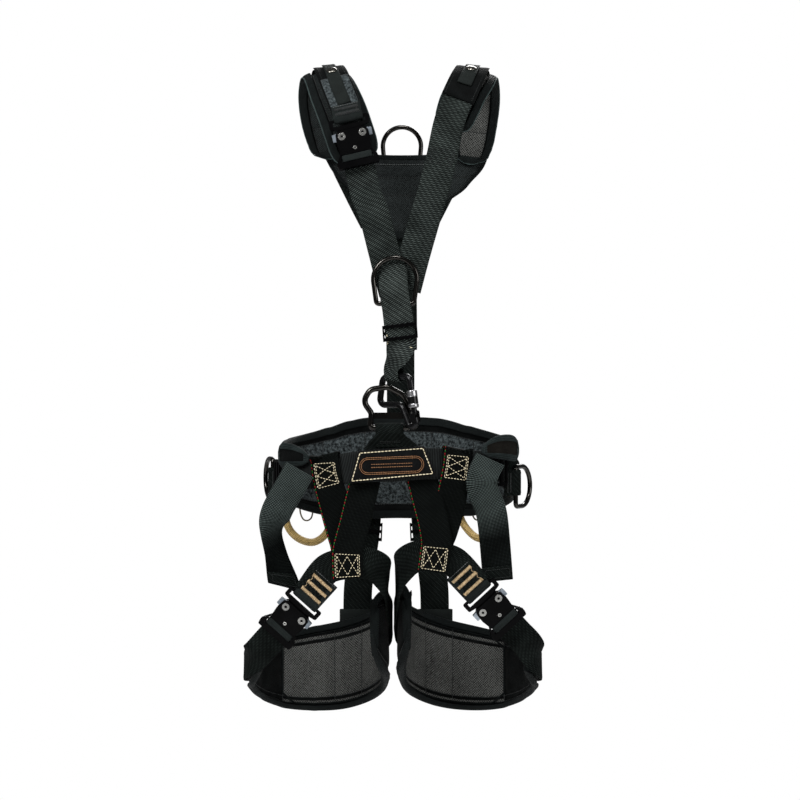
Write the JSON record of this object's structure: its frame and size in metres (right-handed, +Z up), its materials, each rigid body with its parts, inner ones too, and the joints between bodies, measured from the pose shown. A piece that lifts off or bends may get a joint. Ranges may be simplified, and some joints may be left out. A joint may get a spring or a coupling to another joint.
{
  "type": "safety harness",
  "caption": "Full-body work harness of black webbing and padded mesh, with attachment rings, quick-connect buckles, a carabiner and tool loops.",
  "frame": {"origin": "centre of the ring that the waist belt makes around the wearer", "axes": "+Z up, the wearer faces -Y, the wearer's left hand is on the +X side"},
  "size_m": [0.4487, 0.2891, 0.9868],
  "materials": {
    "webbing": "matte woven polyester, black",
    "pad_mesh": "dark grey spacer mesh",
    "hook_and_loop": "grey-blue looped pile",
    "patch_fabric": "satin woven patch",
    "gear_tube": "ribbed tan tube",
    "thin_cord": "thin braided cord",
    "dark_ring_metal": "gunmetal",
    "black_anodised": "black anodised",
    "sleeve_metal": "satin silver with a dark band",
    "bright_steel": "bright",
    "gloss_black_metal": "gloss black",
    "blue_steel": "blue-silver"
  },
  "bodies": {
    "harness": {"back_yoke": "pad_mesh", "shoulder_pad_right": "pad_mesh", "shoulder_pad_left": "pad_mesh", "shoulder_strap_right": "webbing", "shoulder_strap_left": "webbing", "chest_strap_right": "webbing", "shoulder_covers": "hook_and_loop", "keeper_loops": "webbing", "snap_studs": "bright_steel", "dorsal_tab": "webbing", "sternal_strap": "webbing", "back_strap": "webbing", "carabiner_body": "black_anodised", "gate_pin": "bright_steel", "ventral_tab": "webbing", "label_patch": "patch_fabric", "waist_pad": "pad_mesh", "waist_flaps": "pad_mesh", "waist_belt": "webbing", "waist_adjusters": "gloss_black_metal", "waist_tails": "webbing", "side_ring_tabs": "webbing", "gear_loops": "gear_tube", "accessory_loops": "thin_cord", "front_risers_right": "webbing", "front_risers_left": "webbing", "leg_strap_right": "webbing", "leg_strap_left": "webbing", "leg_pad_right": "pad_mesh", "leg_pad_left": "pad_mesh", "rear_risers": "webbing", "chest_tongue": "gloss_black_metal", "leg_right_tongue": "gloss_black_metal", "leg_left_tongue": "gloss_black_metal"},
    "dorsal_ring": {"dorsal_ring": "dark_ring_metal"},
    "sternal_ring": {"sternal_ring": "dark_ring_metal"},
    "ventral_ring": {"ventral_ring": "dark_ring_metal"},
    "side_ring_right": {"side_ring_right": "dark_ring_metal"},
    "side_ring_left": {"side_ring_left": "dark_ring_metal"},
    "gate": {"carabiner_gate": "black_anodised"},
    "sleeve": {"gate_sleeve": "sleeve_metal"},
    "sternal_slider": {"sternal_slider": "gloss_black_metal"},
    "back_slider": {"back_slider": "gloss_black_metal"},
    "rear_buckle_right": {"rear_buckle_right": "gloss_black_metal"},
    "rear_buckle_left": {"rear_buckle_left": "gloss_black_metal"},
    "chest_housing": {"chest_housing": "gloss_black_metal", "chest_rivets": "bright_steel", "chest_wrap": "webbing"},
    "chest_lever_a": {"chest_lever_a": "blue_steel"},
    "chest_lever_b": {"chest_lever_b": "blue_steel"},
    "leg_right_housing": {"leg_right_housing": "gloss_black_metal", "leg_right_rivets": "bright_steel", "leg_right_wrap": "webbing"},
    "leg_right_lever_a": {"leg_right_lever_a": "blue_steel"},
    "leg_right_lever_b": {"leg_right_lever_b": "blue_steel"},
    "leg_left_housing": {"leg_left_housing": "gloss_black_metal", "leg_left_rivets": "bright_steel", "leg_left_wrap": "webbing"},
    "leg_left_lever_a": {"leg_left_lever_a": "blue_steel"},
    "leg_left_lever_b": {"leg_left_lever_b": "blue_steel"}
  },
  "joints": [
    {"name": "dorsal_ring_swing", "type": "hinge", "parent": "harness", "child": "dorsal_ring", "pos_m": [0.009, 0.1046, 0.47], "axis": [-1, 0, 0], "range_deg": [-10, 95]},
    {"name": "sternal_ring_swing", "type": "hinge", "parent": "harness", "child": "sternal_ring", "pos_m": [-0.001, -0.12, 0.241], "axis": [1, 0, 0], "range_deg": [0, 100]},
    {"name": "ventral_ring_swing", "type": "hinge", "parent": "harness", "child": "ventral_ring", "pos_m": [-0.009, -0.131, 0.062], "axis": [1, 0, 0], "range_deg": [-4, 1]},
    {"name": "side_ring_right_swing", "type": "hinge", "parent": "harness", "child": "side_ring_right", "pos_m": [-0.1846, 0, -0.016], "axis": [0, 0, 1], "range_deg": [0, 140]},
    {"name": "side_ring_left_swing", "type": "hinge", "parent": "harness", "child": "side_ring_left", "pos_m": [0.17694, -0.0478, -0.026], "axis": [0, 0, 1], "range_deg": [-120, 0]},
    {"name": "gate_swing", "type": "hinge", "parent": "harness", "child": "gate", "pos_m": [0.02668, -0.15138, 0.08394], "axis": [0.6428, 0.766, 0], "range_deg": [0, 20], "stiffness_Nm_per_rad": 0.05},
    {"name": "sleeve_turn", "type": "hinge", "parent": "gate", "child": "sleeve", "pos_m": [0.02668, -0.15138, 0.08394], "axis": [-0.1292, 0.1084, 0.9857], "range_deg": [0, 90]},
    {"name": "sternal_slider_slide", "type": "slide", "parent": "harness", "child": "sternal_slider", "axis": [0.1203, 0, -0.9927], "range_m": [-0.008, 0.004]},
    {"name": "back_slider_slide", "type": "slide", "parent": "harness", "child": "back_slider", "axis": [0, 0.1, -0.995], "range_m": [-0.02, 0.02]},
    {"name": "rear_buckle_right_slide", "type": "slide", "parent": "harness", "child": "rear_buckle_right", "axis": [-0.09, -0.1799, -0.9796], "range_m": [-0.005, 0.005]},
    {"name": "rear_buckle_left_slide", "type": "slide", "parent": "harness", "child": "rear_buckle_left", "axis": [0.09, -0.1799, -0.9796], "range_m": [-0.005, 0.005]},
    {"name": "chest_release", "type": "slide", "parent": "harness", "child": "chest_housing", "axis": [0.2248, -0.0999, -0.9693], "range_m": [0, 0.028]},
    {"name": "chest_catch_a", "type": "hinge", "parent": "chest_housing", "child": "chest_lever_a", "pos_m": [-0.0786, -0.095, 0.48411], "axis": [-0.0226, -0.995, 0.0973], "range_deg": [-10, 0], "stiffness_Nm_per_rad": 0.02},
    {"name": "chest_catch_b", "type": "hinge", "parent": "chest_housing", "child": "chest_lever_b", "pos_m": [-0.0484, -0.095, 0.49112], "axis": [-0.0226, -0.995, 0.0973], "range_deg": [0, 10], "stiffness_Nm_per_rad": 0.02},
    {"name": "leg_right_release", "type": "slide", "parent": "harness", "child": "leg_right_housing", "axis": [-0.6511, 0.2204, -0.7263], "range_m": [0, 0.028]},
    {"name": "leg_right_catch_a", "type": "hinge", "parent": "leg_right_housing", "child": "leg_right_lever_a", "pos_m": [-0.15956, -0.08759, -0.19818], "axis": [-0.1471, -0.9754, -0.1641], "range_deg": [-10, 0], "stiffness_Nm_per_rad": 0.02},
    {"name": "leg_right_catch_b", "type": "hinge", "parent": "leg_right_housing", "child": "leg_right_lever_b", "pos_m": [-0.13648, -0.08759, -0.21887], "axis": [-0.1471, -0.9754, -0.1641], "range_deg": [0, 10], "stiffness_Nm_per_rad": 0.02},
    {"name": "leg_left_release", "type": "slide", "parent": "harness", "child": "leg_left_housing", "axis": [0.6616, 0.2205, -0.7167], "range_m": [0, 0.028]},
    {"name": "leg_left_catch_a", "type": "hinge", "parent": "leg_left_housing", "child": "leg_left_lever_a", "pos_m": [0.12584, -0.08759, -0.20685], "axis": [0.1496, -0.9754, -0.162], "range_deg": [-10, 0], "stiffness_Nm_per_rad": 0.02},
    {"name": "leg_left_catch_b", "type": "hinge", "parent": "leg_left_housing", "child": "leg_left_lever_b", "pos_m": [0.14862, -0.08759, -0.18582], "axis": [0.1496, -0.9754, -0.162], "range_deg": [0, 10], "stiffness_Nm_per_rad": 0.02}
  ]
}
